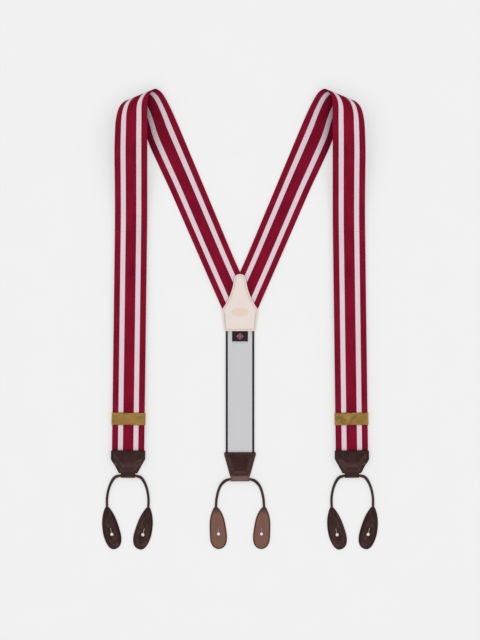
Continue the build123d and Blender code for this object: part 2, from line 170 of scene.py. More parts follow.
class Shape:
    """Vertices in millimetres, faces, and what the materials read: a place on the cloth or leather."""

    def __init__(self):
        self.points = np.zeros((0, 3))
        self.place = np.zeros((0, 2))  # across and along a band, in millimetres
        self.rim = np.zeros(0)  # distance from the nearest cut edge
        self.faces = []
        self.slots = []

    def add(self, points, faces, place=None, rim=None, slot=0):
        first = len(self.points)
        points = np.asarray(points, float)
        self.points = np.vstack([self.points, points])
        self.place = np.vstack([self.place, points[:, :2] if place is None else place])
        self.rim = np.concatenate([self.rim, np.full(len(points), NO_RIM) if rim is None else rim])
        self.faces += [[first + i for i in face] for face in faces]
        self.slots += [slot] * len(faces)
        return self

    def moved(self, change):
        """The same shape with every point changed by a function."""
        out = deepcopy(self)
        out.points = change(self.points)
        return out

    def mirrored(self):
        out = deepcopy(self)
        out.points = self.points * (-1, 1, 1)
        out.faces = [face[::-1] for face in self.faces]
        return out


def placed(name, data, place=(0, 0, 0)):
    """A new object in the scene."""
    item = bpy.data.objects.new(name, data)
    item.location = place
    bpy.context.scene.collection.objects.link(item)
    return item


def make(name, shape, materials):
    """A Blender object of the shape, in metres."""
    mesh = bpy.data.meshes.new(name)
    mesh.from_pydata((shape.points * MM).tolist(), [], shape.faces)
    for material in materials:
        mesh.materials.append(material)
    mesh.polygons.foreach_set("material_index", shape.slots)
    mesh.polygons.foreach_set("use_smooth", [True] * len(mesh.polygons))
    corners = np.zeros(len(mesh.loops), int)
    mesh.loops.foreach_get("vertex_index", corners)
    layer = mesh.uv_layers.new(name="place")
    layer.data.foreach_set("uv", shape.place[corners].astype(np.float32).ravel())
    rim = mesh.attributes.new("rim", "FLOAT", "POINT")
    rim.data.foreach_set("value", shape.rim.astype(np.float32))
    mesh.validate()
    mesh.update()
    mesh.set_sharp_from_angle(angle=math.radians(SHARP))
    return placed(name, mesh)


def put(name, shape, body, material, replaces=None):
    """Make a piece that rides on a body and stands for a CAD node, if it replaces one."""
    piece = make(name, shape, [material])
    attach(piece, body)
    if replaces:
        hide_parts(replaces)


def put_pair(name, shape, body, material, replaces=None):
    """A piece of the left front strap, and its mirror image on the right."""
    left = shape.moved(on_strap)
    for side, one in (("left", left), ("right", left.mirrored())):
        node = f"{side}_{replaces}" if replaces else None
        put(f"{side}_{name}", one, f"{side}_{body}", material, node)


# The left strap's line: its direction is the length joint's, and it runs through the adjuster.
AXIS = np.array(next(j["axis"] for j in frame["joints"] if j["name"] == "left_length"))[:2]
PLATE_LOW, PLATE_HIGH = cad_box("left_adjuster_plate")
PLATE_CENTRE = (PLATE_LOW + PLATE_HIGH)[:2] / 2
ORIGIN = PLATE_CENTRE - AXIS * PLATE_CENTRE[1] / AXIS[1]
ACROSS = np.array([AXIS[1], -AXIS[0]])


def on_strap(points):
    """From the left strap's own frame to the shared frame."""
    points = np.asarray(points, float)
    flat = ORIGIN + points[..., :1] * ACROSS + points[..., 1:2] * AXIS
    return np.concatenate([flat, points[..., 2:]], axis=-1)


def off_strap(points):
    """From the shared frame to the left strap's own frame."""
    away = np.asarray(points, float)[..., :2] - ORIGIN
    return np.stack([away @ ACROSS, away @ AXIS], axis=-1)


# ---- outlines, read from the CAD nodes ---------------------------------------------------


def outlines(node, steep=0.3):
    """Outlines of a node's upper side, in millimetres: the outer one first, then any holes."""
    mesh = frame["nodes"][node].data
    known, where = {}, []
    for vertex in mesh.vertices:
        key = tuple(round(c / MM, 2) for c in vertex.co)
        where.append(known.setdefault(key, len(known)))
    spots = np.array(list(known))
    edges = set()
    for polygon in mesh.polygons:
        if polygon.normal.z > steep:
            ring = [where[i] for i in polygon.vertices]
            for a, b in zip(ring, ring[1:] + ring[:1]):
                if (b, a) in edges:
                    edges.remove((b, a))
                elif a != b:
                    edges.add((a, b))
    follow = dict(edges)
    loops = []
    while follow:
        at, to = follow.popitem()
        loop = [at]
        while to != loop[0] and to in follow:
            loop.append(to)
            to = follow.pop(to)
        loops.append(spots[loop][:, :2])
    return sorted(loops, key=lambda loop: -np.ptp(loop[:, 1]))


def resampled(loop, step, soften=0):
    """The closed outline with evenly spaced points, its corners softened a little if asked."""
    closed = np.vstack([loop, loop[:1]])
    lengths = distances(closed)
    count = max(12, int(round(lengths[-1] / step)))
    even = points_at(closed, lengths, np.linspace(0, lengths[-1], count, endpoint=False))
    for _ in range(soften):
        even = (np.roll(even, 1, 0) + 2 * even + np.roll(even, -1, 0)) / 4
    return even


def inset(loop, distance):
    """The outline moved inwards, to the left of its own direction."""
    ahead = unit(np.roll(loop, -1, 0) - np.roll(loop, 1, 0))
    return loop + distance * np.stack([-ahead[:, 1], ahead[:, 0]], axis=1)


def edge_distance(points, loops):
    """Distance from each point to the nearest outline."""
    best = np.full(len(points), 1e9)
    for loop in loops:
        start, along = loop, np.roll(loop, -1, 0) - loop
        length = (along**2).sum(1)
        for k in range(len(loop)):
            away = points - start[k]
            t = np.clip(away @ along[k] / length[k], 0, 1)
            gap = away - t[:, None] * along[k]
            best = np.minimum(best, np.hypot(gap[:, 0], gap[:, 1]))
    return best


def inside(points, loops):
    """True for the points inside the outer outline and outside its holes."""
    crossings = np.zeros(len(points), int)
    for loop in loops:
        ends = np.roll(loop, -1, 0)
        for (ax, ay), (bx, by) in zip(loop, ends):
            spans = (ay > points[:, 1]) != (by > points[:, 1])
            if ay != by:
                meets = ax + (points[:, 1] - ay) * (bx - ax) / (by - ay)
                crossings += spans & (points[:, 0] < meets)
    return crossings % 2 == 1


# ---- leather: slabs cut to an outline ----------------------------------------------------


def hexagons(low, high, grid):
    """Points of a triangle grid over a rectangle."""
    rows = []
    for k, y in enumerate(np.arange(low[1], high[1], grid * HEX_ROW)):
        xs = np.arange(low[0] + grid / 2 * (k % 2), high[0], grid)
        rows.append(np.column_stack([xs, np.full(len(xs), y)]))
    return np.vstack(rows)


def slab(loops, low, high, extra=(), edge_round=EDGE_ROUND):
    """A leather piece cut to the outlines. low and high give its two sides' heights at (x, y, d),
    where d is the distance from the nearest edge. Edges are rounded."""
    turns = [edge_round * (1 - math.cos(a)) for a in np.linspace(0, math.pi / 2, 4)[1:]]
    turns.append(edge_round + RIM_BAND)
    border = np.vstack(loops)
    kept = []
    for loop in loops:
        for d in turns:
            ring = inset(loop, d)
            near = np.abs(edge_distance(ring, loops) - d) < 0.12 * d + 0.01
            kept.append(ring[near & inside(ring, loops)])
    for more in [hexagons(border.min(0), border.max(0), GRID)] + list(extra):
        clear = edge_distance(more, loops) > edge_round + RIM_BAND + 0.35 * GRID
        kept.append(more[clear & inside(more, loops)])
    edges, first = [], 0
    for loop in loops:
        count = len(loop)
        edges += [(first + k, first + (k + 1) % count) for k in range(count)]
        first += count
    flat = [tuple(p) for p in np.vstack([border] + kept)]
    spots, _, triangles, *_ = delaunay_2d_cdt(flat, edges, [], 0, 1e-4)
    spots = np.array([tuple(p) for p in spots])
    triangles = np.array(triangles)
    triangles = triangles[inside(spots[triangles].mean(1), loops)]
    a, b, c = (spots[triangles[:, k]] for k in range(3))
    area = (b - a)[:, 0] * (c - a)[:, 1] - (b - a)[:, 1] * (c - a)[:, 0]
    triangles = np.where((area > 0)[:, None], triangles, triangles[:, ::-1])
    used, triangles = np.unique(triangles, return_inverse=True)
    triangles = triangles.reshape(-1, 3)
    spots = spots[used]
    x, y = spots[:, 0], spots[:, 1]
    d = edge_distance(spots, loops)
    turn = np.clip(edge_round - d, 0, edge_round)
    drop = edge_round - np.sqrt(np.maximum(edge_round**2 - turn**2, 0))
    top = np.column_stack([x, y, high(x, y, d) - drop])
    bottom = np.column_stack([x, y, low(x, y, d) + drop])
    count = len(spots)
    faces = [list(t) for t in triangles] + [[t[0] + count, t[2] + count, t[1] + count] for t in triangles]
    directed = {(t[i], t[(i + 1) % 3]) for t in triangles.tolist() for i in range(3)}
    for i, j in directed:
        if (j, i) not in directed:
            faces.append([i, i + count, j + count, j])
    return Shape().add(np.vstack([top, bottom]), faces, rim=np.concatenate([d, d]))


def level(height):
    """A flat side for a slab."""
    return lambda x, y, d: height + 0.0 * x


def stitch_places(run, pitch):
    """Even places and headings for stitches along a run of points."""
    far = distances(run)
    number = max(1, int(far[-1] / pitch))
    middles = (np.arange(number) + 0.5) * far[-1] / number
    spots, ahead, behind = (points_at(run, far, middles + shift) for shift in (0, 0.3, -0.3))
    return list(zip(spots, unit(ahead - behind)))


def thread_runs(loop, distance, keep, pitch):
    """Places for stitches along the outline moved inwards, where keep(x, y) is true."""
    line = inset(resampled(loop, 0.4, 2), distance)
    near = np.abs(edge_distance(line, [loop]) - distance) < 0.3 * distance
    line = line[near]
    chosen = keep(line[:, 0], line[:, 1])
    breaks = np.flatnonzero(~chosen)
    line = np.roll(line, -breaks[0], 0) if len(breaks) else np.vstack([line, line[:1]])
    chosen = np.roll(chosen, -breaks[0]) if len(breaks) else np.ones(len(line), bool)
    places = []
    for run in np.split(np.arange(len(line)), np.flatnonzero(chosen[1:] != chosen[:-1]) + 1):
        if chosen[run[0]] and len(run) > 4:
            places += stitch_places(line[run], pitch)
    return places


def stitches(places, height, length, radius, slant=6):
    """Thread stitches: each a short thread that rises out of one hole and dips into the next."""
    shape = Shape()
    turns = circle(6)
    rows = np.linspace(-1, 1, 7)
    cos, sin = math.cos(math.radians(slant)), math.sin(math.radians(slant))
    for spot, heading in places:
        heading = np.array([[cos, -sin], [sin, cos]]) @ heading
        side = np.array([-heading[1], heading[0]])
        points, places_on = [], []
        for t in rows:
            centre = spot + heading * t * length / 2
            lift = radius * (0.75 - 1.9 * abs(t) ** 3.5)
            width = radius * (1 - 0.35 * t * t)
            ground = float(height(centre[:1], centre[1:2])[0])
            for a in turns:
                flat = centre + side * math.cos(a) * width
                points.append([flat[0], flat[1], ground + lift + math.sin(a) * width * 0.9])
                places_on.append([a, t * length / 2])
        faces = tube_faces(len(rows), len(turns))
        shape.add(points, [face[::-1] for face in faces], places_on)
    return shape


# ---- woven bands -------------------------------------------------------------------------


def band(lefts, rights, lifts, thick, step=1.3, bead=0.0, under=0, start=0.0):
    """A woven band through straight stations: rounded selvedges, with a bead along each if asked.
    lifts are unit normals of its upper side. under is the material slot of its lower side."""
    lefts, rights, lifts = (np.asarray(a, float) for a in (lefts, rights, lifts))
    width = np.linalg.norm(rights[0] - lefts[0])
    half = thick / 2
    edge = [half * (1 - math.cos(a)) for a in np.linspace(0, math.pi / 2, 4)]
    edge += [half + 0.3, half + 0.7, half + 1.1]
    inner = np.linspace(edge[-1], width - edge[-1], max(3, int(width / step)))[1:-1]
    across = np.concatenate([edge, inner, width - np.array(edge[::-1])])
    from_edge = np.minimum(across, width - across)
    turn = np.clip(half - from_edge, 0, half)
    rise = np.sqrt(np.maximum(half**2 - turn**2, 0)) + bead * bell(from_edge - 0.8, 0.45)
    rise[0] = rise[-1] = 0
    middles = (lefts + rights) / 2
    along = start + distances(middles)
    columns = len(across)
    order = [*range(columns), *range(columns - 2, 0, -1)]  # over the top, then back underneath
    up = rise[order] * ([1] * columns + [-1] * (columns - 2))
    share = (across / width)[order]
    points = lefts[:, None] + (rights - lefts)[:, None] * share[:, None] + lifts[:, None] * up[:, None]
    place = np.stack(np.broadcast_arrays(across[order], along[:, None]), axis=-1)
    rim = np.tile(from_edge[order], len(along))
    faces = tube_faces(len(along), len(order))
    shape = Shape().add(points.reshape(-1, 3), faces, place.reshape(-1, 2), rim)
    one_row = [0] * (columns - 1) + [under] * (columns - 1)
    shape.slots = one_row * (len(along) - 1) + [0, 0]
    return shape


def flat_band(half, ys, height, thick, **look):
    """A band lying flat. half is its half width, below zero when it is drawn upwards."""
    half, height = half + 0.0 * ys, height + 0.0 * ys
    lefts = np.column_stack([half, ys, height])
    rights = np.column_stack([-half, ys, height])
    return band(lefts, rights, np.tile([0, 0, 1.0], (len(ys), 1)), thick, **look)


def cut_at(shape, x):
    """The part of a shape on the left of a plane across X, closed along the cut."""
    mesh = bmesh.new()
    layer = mesh.verts.layers.float_vector.new("place_and_rim")
    verts = [mesh.verts.new(p) for p in shape.points]
    for vert, place, rim in zip(verts, shape.place, shape.rim):
        vert[layer] = (*place, rim)
    for face, slot in zip(shape.faces, shape.slots):
        mesh.faces.new([verts[i] for i in face]).material_index = slot
    parts = list(mesh.verts) + list(mesh.edges) + list(mesh.faces)
    cut = bmesh.ops.bisect_plane(
        mesh, geom=parts, plane_co=(x, 0, 0), plane_no=(1, 0, 0), clear_outer=True
    )["geom_cut"]
    border = [e for e in cut if isinstance(e, bmesh.types.BMEdge) and e.is_boundary]
    bmesh.ops.holes_fill(mesh, edges=border, sides=0)
    mesh.verts.index_update()
    read = np.array([vert[layer] for vert in mesh.verts])
    faces = [[v.index for v in face.verts] for face in mesh.faces]
    out = Shape().add([v.co for v in mesh.verts], faces, read[:, :2], read[:, 2])
    out.slots = [face.material_index for face in mesh.faces]
    mesh.free()
    return out


# ---- materials ---------------------------------------------------------------------------

SLOT_COLOUR = {m["slot"]: m["base_color"] for m in frame["record"]["materials"]}


class Recipe:
    """A procedural material being written: each call adds a node and gives its output."""

    def __init__(self, name, start_from=None):
        self.material = start_from.copy() if start_from else bpy.data.materials.new(name)
        self.material.name = name
        self.material.use_nodes = True
        self.tree = self.material.node_tree
        self.shader = self.tree.nodes["Principled BSDF"]

    def feed(self, socket, value):
        if isinstance(value, bpy.types.NodeSocket):
            self.tree.links.new(value, socket)
        elif isinstance(value, (tuple, list)) and len(value) == 3 and socket.type == "RGBA":
            socket.default_value = (*value, 1)
        else:
            socket.default_value = value

    def add(self, kind, inputs, output=0, **settings):
        """A node of any kind, its inputs given by name or number."""
        node = self.tree.nodes.new(kind)
        for key, value in settings.items():
            setattr(node, key, value)
        for key, value in inputs.items():
            self.feed(node.inputs[key], value)
        return node.outputs[output]

    def math(self, operation, *values):
        return self.add("ShaderNodeMath", dict(enumerate(values)), operation=operation)

    def times(self, first, second):
        return self.math("MULTIPLY", first, second)

    def plus(self, first, second):
        return self.math("ADD", first, second)

    def minus(self, first, second):
        return self.math("SUBTRACT", first, second)

    def blend(self, first, share, second):
        """first times share, plus second."""
        return self.math("MULTIPLY_ADD", first, share, second)

    def size(self, value):
        return self.math("ABSOLUTE", value)

    def band(self, value, low, high, soft):
        """1 where the value lies between low and high, with soft borders."""
        over_low, over_high = (self.rise(value, edge - soft, edge + soft) for edge in (low, high))
        return self.minus(over_low, over_high)

    def rise(self, value, low, high, start=0.0, end=1.0):
        inputs = dict(enumerate((value, low, high, start, end)))
        return self.add("ShaderNodeMapRange", inputs, interpolation_type="SMOOTHSTEP")

    def mix(self, amount, first, second):
        return self.add("ShaderNodeMix", {0: amount, 6: first, 7: second}, 2, data_type="RGBA")

    def tones(self, amount, colour, low, high):
        """The colour from a darker to a lighter tone."""
        return self.mix(amount, shade(colour, low), shade(colour, high))

    def painted_gap_shade(self, height, share, base, deep):
        """The base colour, going to the deep one where the height is low: painted shade in the hollows of
        a weave or grain.
        """
        return self.mix(self.times(self.minus(1.0, height), share), base, deep)

    def scaled(self, vector, factor):
        return self.add("ShaderNodeVectorMath", {0: vector, "Scale": factor}, operation="SCALE")

    def object_place(self):
        """Object coordinates in millimetres."""
        return self.scaled(self.add("ShaderNodeTexCoord", {}, "Object"), 1 / MM)

    def parts(self, vector):
        split = self.tree.nodes.new("ShaderNodeSeparateXYZ")
        self.feed(split.inputs[0], vector)
        return split.outputs[0], split.outputs[1]

    def band_place(self):
        """(across, along) on a band, in millimetres."""
        return self.parts(self.add("ShaderNodeUVMap", {}, uv_map="place"))

    def noise(self, place, scale, detail=2.0, roughness=0.5):
        inputs = {"Vector": place, "Scale": scale, "Detail": detail, "Roughness": roughness}
        return self.add("ShaderNodeTexNoise", inputs)

    def band_noise(self, across_scale, along_scale, detail):
        across, along = self.band_place()
        inputs = {0: self.times(across, across_scale), 1: self.times(along, along_scale)}
        return self.noise(self.add("ShaderNodeCombineXYZ", inputs), 1.0, detail)

    def cells(self, place, scale):
        return self.add("ShaderNodeTexVoronoi", {"Vector": place, "Scale": scale})

    def wave(self, value, pitch):
        """A smooth wave from 0 to 1 that repeats at the pitch."""
        return self.blend(self.math("SINE", self.times(value, 2 * math.pi / pitch)), 0.5, 0.5)

    def rim(self):
        """Distance from the nearest cut edge."""
        return self.add("ShaderNodeAttribute", {}, "Fac", attribute_name="rim")

    def bump(self, height, distance, strength, **normal):
        inputs = {"Strength": strength, "Distance": distance * MM, "Height": height, **normal}
        return self.add("ShaderNodeBump", inputs)

    def painted_occlusion_shade(self, colour, reach, depth):
        """The colour with painted shade: darker where other surfaces close over it within the reach."""
        sky = self.add("ShaderNodeAmbientOcclusion", {"Distance": reach * MM}, "AO", samples=6)
        return self.scaled(colour, self.rise(sky, 0.15, 0.95, depth, 1.0))

    def done(self, colour, roughness, **inputs):
        for key, value in {"Base_Color": colour, "Roughness": roughness, **inputs}.items():
            self.feed(self.shader.inputs[key.replace("_", " ")], value)
        return self.material


def shade(colour, amount):
    """The colour made darker or lighter."""
    return tuple(c * amount for c in colour)


BRUSHING = (0.25, 6.0, 6.0)  # the brushed lines run along X
RIB_PITCH = 0.62  # ribbed weave: weft ribs along the ribbon
WARP_PITCH = 0.3
STRIPE_NEAR = 0.163  # a white stripe's edges, as shares of the width from the middle
STRIPE_FAR = 0.3135


def ribbon_material():
    """Ribbed silky ribbon, crimson with two white stripes."""
    r = Recipe("striped_ribbon")
    across, along = r.band_place()
    fray = r.band_noise(2.5, 1.6, 1.0)
    away = r.math("DIVIDE", r.size(r.minus(across, RIBBON_HALF)), 2 * RIBBON_HALF)
    away = r.blend(r.minus(fray, 0.5), 0.006, away)
    white = r.band(away, STRIPE_NEAR, STRIPE_FAR, 0.003)
    streak = r.band_noise(2.2, 0.03, 3.0)
    cloud = r.band_noise(0.06, 0.03, 2.0)
    ribs = r.wave(along, RIB_PITCH)
    warps = r.wave(across, WARP_PITCH)
    weave = r.blend(warps, 0.35, ribs)
    crimson = SLOT_COLOUR["ribbon"]
    tone = r.plus(r.times(streak, 0.6), r.times(cloud, 0.4))
    red = r.tones(r.rise(tone, 0.3, 0.7), crimson, 0.7, 1.3)
    pale = r.mix(tone, (0.62, 0.51, 0.56), (0.83, 0.71, 0.765))
    colour = r.mix(white, red, pale)
    # painted shade between the ribs
    colour = r.painted_gap_shade(ribs, 0.28, colour, shade(crimson, 0.25))
    rough = r.rise(weave, 0.0, 1.3, 0.62, 0.46)
    normal = r.bump(weave, 0.07, 0.8)
    # painted shade where the shoulder fold and the other pieces close over the ribbon
    return r.done(r.painted_occlusion_shade(colour, 70.0, 0.12), rough, Normal=normal, Specular_IOR_Level=0.02)


def elastic_material(name, middle, edge, edge_width=2.6):
    """Woven elastic: fine lengthwise cords crossed by weft, with edges of another colour."""
    r = Recipe(name)
    across, along = r.band_place()
    away = r.size(r.minus(across, ELASTIC_HALF))
    border = r.rise(away, ELASTIC_HALF - edge_width - 0.08, ELASTIC_HALF - edge_width + 0.08)
    cords = r.wave(across, 0.95)
    weft = r.wave(along, 0.55)
    twill = r.wave(r.blend(across, 0.6, along), 1.1)
    weave = r.blend(weft, 0.5, r.blend(twill, 0.25, cords))
    fuzz = r.band_noise(1.3, 0.5, 3.0)
    body = r.tones(fuzz, middle, 0.86, 1.1)
    # painted shade between the cords
    body = r.painted_gap_shade(cords, 0.22, body, shade(middle, 0.55))
    colour = r.mix(border, body, r.tones(fuzz, edge, 0.8, 1.3))
    normal = r.bump(weave, 0.09, 0.7)
    return r.done(colour, 0.78, Normal=normal, Sheen_Weight=0.2, Specular_IOR_Level=0.25)


def leather_material(
    name, colour, rough, grain,
    rim_colour=None, rim_width=0.35, mottle=0.25, glow=(1, 1, 1), painted_edge_shade=0.0, seam=None,
):
    """Leather: pebble grain, mottling, and a dyed or worn cut edge. glow tints its reflections, the
    edge shade amount paints shade towards the edge, and seam is painted shade along its stitches."""
    r = Recipe(name)
    place = r.object_place()
    pebbles = r.cells(place, 1.5)
    fine = r.noise(place, 2.6, 4.0, 0.6)
    cloud = r.noise(place, 0.11, 3.0, 0.55)
    pores = r.rise(r.cells(place, 2.3), 0.0, 0.18)
    tone = r.plus(r.times(cloud, 0.7), r.times(fine, 0.3))
    base = r.tones(tone, colour, 1 - mottle, 1 + mottle)
    # painted shade in the pores
    base = r.painted_gap_shade(pores, 0.25, base, shade(colour, 0.5))
    # painted shade: darker towards the cut edge, where a domed piece turns away from the light
    if painted_edge_shade:
        reach = r.blend(cloud, 4.0, 2.2)
        dark = r.rise(r.rim(), 0.2, reach, painted_edge_shade, 0.0)
        base = r.mix(dark, base, shade(colour, 0.28))
    # painted shade: a darker band in the seam's groove, where the stitches sink in
    if seam:
        groove = r.times(r.band(r.rim(), 1.35, 2.65, 0.35), r.rise(fine, 0.3, 0.7, 0.3, 0.75))
        base = r.mix(groove, base, seam)
    edge = r.rise(r.rim(), 0.0, rim_width, 1.0, 0.0)
    worn = r.times(edge, r.rise(fine, 0.3, 0.6, 0.7, 1.0))
    base = r.mix(worn, base, rim_colour or shade(colour, 0.55))
    height = r.blend(fine, 0.5, pebbles)
    roughness = r.rise(r.plus(tone, r.times(pebbles, 0.2)), 0.3, 0.8, rough - 0.07, rough + 0.1)
    # painted shade where other pieces close over the leather
    return r.done(
        r.painted_occlusion_shade(base, 5.0, 0.45), roughness,
        Normal=r.bump(height, grain, 0.6), Specular_IOR_Level=0.5, Specular_Tint=glow,
    )


def flesh_material():
    """Flesh side of the leather: a short nap with fibres, matt, and a darker dyed edge."""
    r = Recipe("leather_flesh_side")
    place = r.object_place()
    colour = (0.172, 0.079, 0.056)
    nap = r.noise(place, 1.7, 6.0, 0.7)
    cloud = r.noise(place, 0.16, 3.0)
    base = r.tones(r.rise(nap, 0.25, 0.75), colour, 0.66, 1.3)
    base = r.mix(r.times(cloud, 0.5), base, shade(colour, 0.8))
    # the dyed edge; on the ears the rim also carries painted shade in the crease and at the neck
    edge = r.rise(r.rim(), 0.9, 2.4, 1.0, 0.0)
    base = r.mix(edge, base, shade(SLOT_COLOUR["brown_leather"], 0.6))
    return r.done(base, 0.88, Normal=r.bump(nap, 0.12, 0.7), Sheen_Weight=0.3, Specular_IOR_Level=0.2)


def thread_material(name, colour):
    """Twisted sewing thread."""
    r = Recipe(name)
    turn, along = r.band_place()
    plies = r.wave(r.blend(turn, 0.14, along), 0.5)
    # painted shade in the grooves between the plies, lighter on their crests
    base = r.tones(plies, colour, 0.55, 1.15)
    return r.done(base, 0.6, Normal=r.bump(plies, 0.06, 0.8), Sheen_Weight=0.3)


def metal_material(name, colour, rough):
    """Stamped metal with a fine brushed grain, and edges that catch the light."""
    r = Recipe(name)
    place = r.object_place()
    brushed = r.add("ShaderNodeVectorMath", {0: place, 1: BRUSHING}, operation="MULTIPLY")
    lines = r.noise(brushed, 1.0, 4.0, 0.6)
    smear = r.noise(place, 0.22, 3.0)
    tone = r.plus(r.times(lines, 0.35), r.times(smear, 0.5))
    base = r.tones(tone, colour, 0.82, 1.2)
    roughness = r.rise(smear, 0.3, 0.7, rough - 0.05, rough + 0.09)
    edges = r.add("ShaderNodeBevel", {"Radius": 0.18 * MM})
    return r.done(base, roughness, Normal=r.bump(lines, 0.012, 0.5, Normal=edges), Metallic=1.0)


def label_material():
    """Black damask label with a plain lozenge of pink thread."""
    r = Recipe("woven_label")
    across, along = r.band_place()
    centre = r.minus(across, LABEL_HALF)
    down = r.minus(along, LABEL_MIDDLE)
    diamond = r.plus(r.size(centre), r.size(r.times(down, 1.15)))
    rings = r.plus(r.band(diamond, 3.2, 4.4, 0.12), r.band(diamond, 0.0, 1.9, 0.12))
    threads = r.wave(across, 0.42)
    picks = r.wave(along, 0.36)
    weave = r.times(threads, picks)
    black = r.mix(threads, (0.009, 0.006, 0.008), (0.026, 0.018, 0.021))
    pink = r.mix(picks, (0.26, 0.05, 0.11), (0.42, 0.17, 0.25))
    colour = r.mix(rings, black, pink)
    return r.done(colour, 0.7, Normal=r.bump(weave, 0.06, 0.8), Specular_IOR_Level=0.15)


ELASTIC_LOW, ELASTIC_HIGH = cad_box("elastic_back")
ELASTIC_HALF = float(ELASTIC_HIGH[0])
LABEL_LOW, LABEL_HIGH = cad_box("woven_label")
LABEL_HALF = float(LABEL_HIGH[0])
LABEL_MIDDLE = float(LABEL_HIGH[1] - LABEL_LOW[1]) / 2

RIBBON = ribbon_material()
EDGE_YARN = (0.022, 0.016, 0.018)
BLACK_YARN = (0.02, 0.016, 0.018)
ELASTIC_FACE = elastic_material("elastic_inner_face", shade(SLOT_COLOUR["elastic"], 0.93), EDGE_YARN)
ELASTIC_BACK = elastic_material("elastic_outer_face", BLACK_YARN, BLACK_YARN)
# the dark leather carries painted shade towards its edges
DARK = leather_material(
    "dark_leather", shade(SLOT_COLOUR["dark_leather"], 0.62), 0.2, 0.012,
    mottle=0.4, glow=(0.9, 0.5, 0.42), painted_edge_shade=0.85,
)
BROWN = leather_material("brown_leather", SLOT_COLOUR["brown_leather"], 0.5, 0.07)
# the cream leather's seam colour is painted shade along its stitch groove
CREAM = leather_material(
    "cream_leather", shade(SLOT_COLOUR["cream_leather"], 0.82), 0.6, 0.05,
    rim_colour=(0.80, 0.50, 0.45), rim_width=0.9, mottle=0.05, seam=(0.52, 0.44, 0.32),
)
# the rear keeper carries painted shade towards its edges too
KEEPER = leather_material("keeper_leather", (0.115, 0.060, 0.046), 0.5, 0.05, painted_edge_shade=0.5)
FLESH = flesh_material()
CREAM_THREAD = thread_material("cream_thread", (0.60, 0.52, 0.42))
DARK_THREAD = thread_material("dark_thread", (0.17, 0.085, 0.06))
GREY_THREAD = thread_material("grey_thread", (0.42, 0.41, 0.42))
GILT = metal_material("satin_gilt", (0.66, 0.40, 0.115), 0.34)
STEEL = metal_material("bright_steel", SLOT_COLOUR["steel"], 0.28)
LABEL = label_material()


# ---- ribbon straps -----------------------------------------------------------------------

# The shoulder fold and the back part, as the ribbon's outer and inner end points in the shared
# frame. The ribbon rolls over like a cone, so its ends don't turn together.
FOLD_ON_STRAP = [((145, 8.0), (148, 8.0)), ((175, 14.5), (184, 14.3)), ((205, 22.5), (222, 20.6))]
FOLD_STATIONS = [
    ((-144.3, 227.0, 26.6), (-107.0, 250.0, 22.4)),
    ((-143.0, 246.0, 25.0), (-106.7, 269.5, 20.6)),
    ((-139.0, 260.5, 20.5), (-102.8, 277.5, 17.6)),
    ((-130.0, 268.3, 13.5), (-97.8, 281.8, 12.6)),
    ((-121.5, 263.0, 6.6), (-91.5, 278.6, 7.0)),
    ((-114.0, 246.5, 3.2), (-84.0, 266.5, 3.4)),
    ((-107.8, 222.5, 1.6), (-74.0, 245.0, 1.4)),
    ((-95.5, 194.5, 1.1), (-61.0, 214.0, 1.1)),
    ((-82.0, 165.5, 1.0), (-48.0, 183.0, 1.0)),
    ((-62.0, 119.8, 1.2), (-28.5, 136.2, 1.2)),
    ((-42.0, 74.0, 1.9), (-9.0, 89.5, 1.9)),
    ((-28.4, 43.0, 2.0), (5.0, 57.8, 2.0)),
    ((-14.8, 12.0, 2.0), (19.0, 26.0, 2.0)),
]
FLAT_STATIONS = [LINK_Y + 0.2, 60.0, 90.0, FLAT_END]
ROW_STEP = 1.6
MITRE_X = -0.03  # the two ribbons are cut to meet on the centre line


def through(points, along, at):
    """Points of a smooth curve through the given ones, at distances along it."""
    last = len(points) - 1
    before = np.maximum(np.arange(last + 1) - 1, 0)
    after = np.minimum(np.arange(last + 1) + 1, last)
    slopes = (points[after] - points[before]) / (along[after] - along[before])[:, None]
    k = np.clip(np.searchsorted(along, at, side="right") - 1, 0, last - 1)
    span = (along[k + 1] - along[k])[:, None]
    t = ((at - along[k])[:, None]) / span
    return (
        points[k] * (2 * t**3 - 3 * t**2 + 1)
        + slopes[k] * span * (t**3 - 2 * t**2 + t)
        + points[k + 1] * (3 * t**2 - 2 * t**3)
        + slopes[k + 1] * span * (t**3 - t**2)
    )


def ribbon_lifts(outers, inners):
    """Unit normals of the ribbon's outside face."""
    heading = np.gradient((outers + inners) / 2, axis=0)
    return unit(np.cross(inners - outers, heading))


def shoulder_ribbon():
    """The ribbon from the seam over the shoulder fold to the yoke."""
    outers = [on_strap([-RIBBON_HALF, y, FLAT_Z]) for y in FLAT_STATIONS]
    inners = [on_strap([RIBBON_HALF, y, FLAT_Z]) for y in FLAT_STATIONS]
    for (outer_y, outer_z), (inner_y, inner_z) in FOLD_ON_STRAP:
        outers.append(on_strap([-RIBBON_HALF, outer_y, outer_z]))
        inners.append(on_strap([RIBBON_HALF, inner_y, inner_z]))
    outers = np.array(outers + [np.array(outer) for outer, _ in FOLD_STATIONS])
    inners = np.array(inners + [np.array(inner) for _, inner in FOLD_STATIONS])
    along = distances((outers + inners) / 2)
    start = SEAM_Y - FLAT_STATIONS[0]
    at = np.linspace(start, along[-1], int((along[-1] - start) / ROW_STEP))
    outer, inner = through(outers, along, at), through(inners, along, at)
    shape = band(outer, inner, ribbon_lifts(outer, inner), RIBBON_THICK, bead=RIBBON_BEAD, start=start)
    return cut_at(shape, MITRE_X)


def front_ribbon():
    """The front layer, from the link ring to the seam, drawn in at the ring."""
    ys = np.concatenate([np.linspace(LINK_Y + 0.2, GATHER_Y, 9), np.linspace(GATHER_Y + 2, SEAM_Y, 140)])
    half = GATHER_HALF + (RIBBON_HALF - GATHER_HALF) * smooth(LINK_Y, GATHER_Y, ys)
    height = FLAT_Z + 0.14 * smooth(LINK_Y + 4, LINK_Y + 1, ys)  # clear of the ring's bar
    shape = flat_band(-half, ys, height, RIBBON_THICK, bead=RIBBON_BEAD)
    shape.place[:, 0] *= RIBBON_HALF / GATHER_HALF
    return shape


